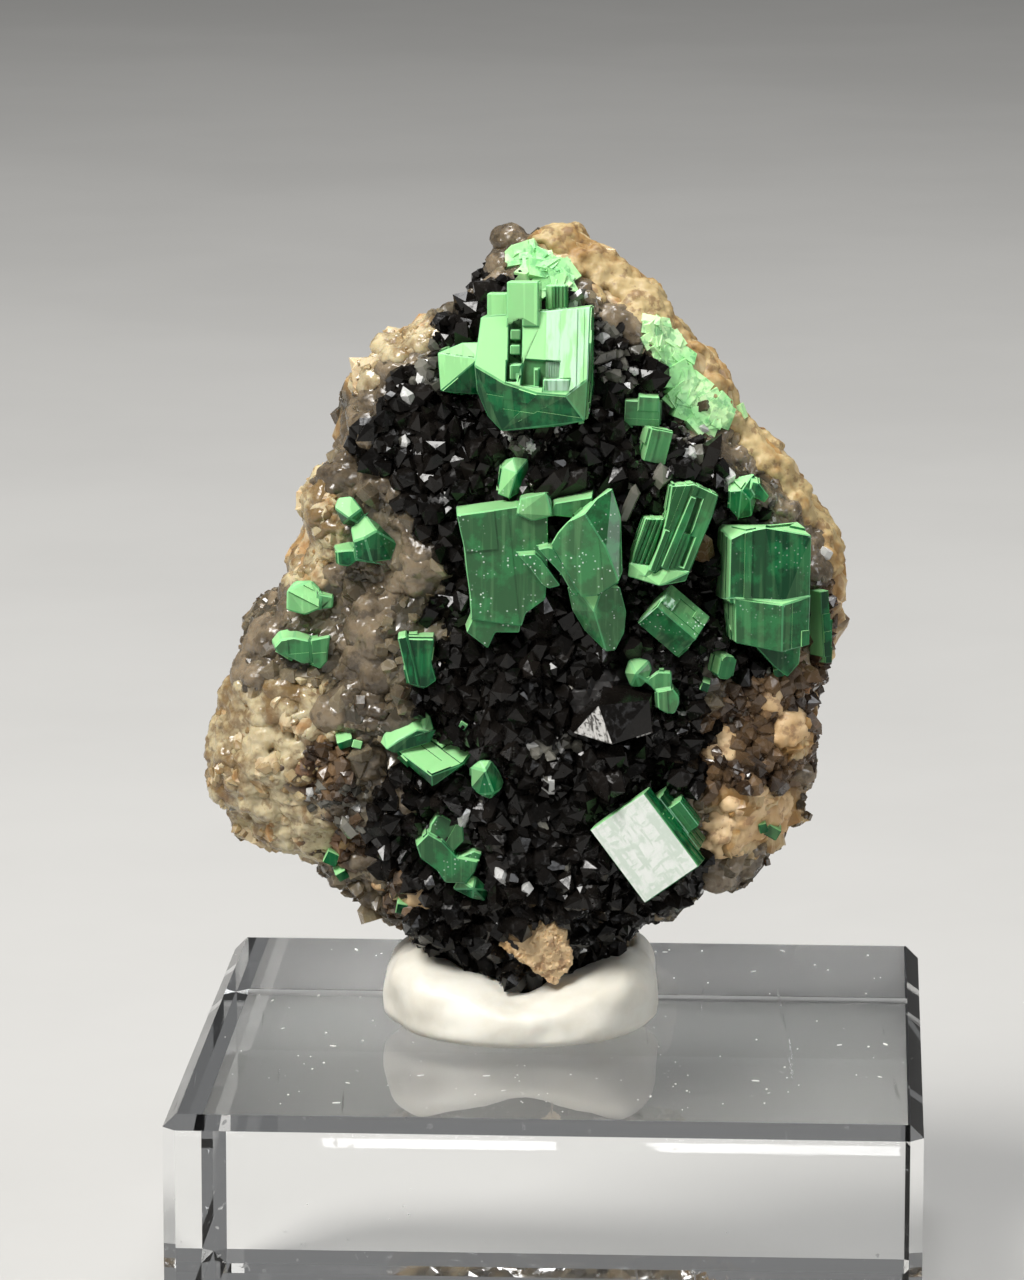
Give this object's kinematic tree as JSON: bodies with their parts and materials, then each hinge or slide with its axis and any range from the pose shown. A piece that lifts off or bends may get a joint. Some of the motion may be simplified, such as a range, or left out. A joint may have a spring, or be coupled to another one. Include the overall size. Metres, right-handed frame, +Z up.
{
  "type": "torbernite mineral specimen",
  "caption": "Thumbnail mineral specimen: square green torbernite crystals on dark smoky quartz rock, set in white putty on a clear square base.",
  "frame": {"origin": "under the middle of the putty's footprint, at the height of the base's underside", "axes": "+Z up; the specimen's crystal face looks along -Y and +X is to its right as seen from there; the base is turned 3.2 degrees about Z"},
  "size_m": [0.0268, 0.0268, 0.0382],
  "materials": {
    "acrylic": "polished",
    "putty": "matte",
    "matrix": "glassy crust",
    "torbernite": "glassy to pearly"
  },
  "bodies": {
    "root": {"acrylic_base": "acrylic", "mounting_putty": "putty", "quartz_matrix": "matrix", "torbernite_crown": "torbernite", "torbernite_crown_flank": "torbernite", "torbernite_splinter": "torbernite", "torbernite_heart": "torbernite", "torbernite_laths": "torbernite", "torbernite_striated": "torbernite", "torbernite_tower": "torbernite", "torbernite_rim_wedge": "torbernite", "torbernite_plaque_upper": "torbernite", "torbernite_plaque_lower": "torbernite", "torbernite_bead": "torbernite", "torbernite_bud": "torbernite", "torbernite_mirror": "torbernite", "torbernite_knob_cluster": "torbernite", "torbernite_knob_cap": "torbernite", "torbernite_shoulder": "torbernite", "torbernite_rolled": "torbernite", "torbernite_blades": "torbernite", "torbernite_pellet": "torbernite", "torbernite_foot_cluster": "torbernite", "torbernite_rind_sheet": "torbernite", "torbernite_peak_sheet": "torbernite", "torbernite_rim_blades": "torbernite"}
  },
  "joints": []
}
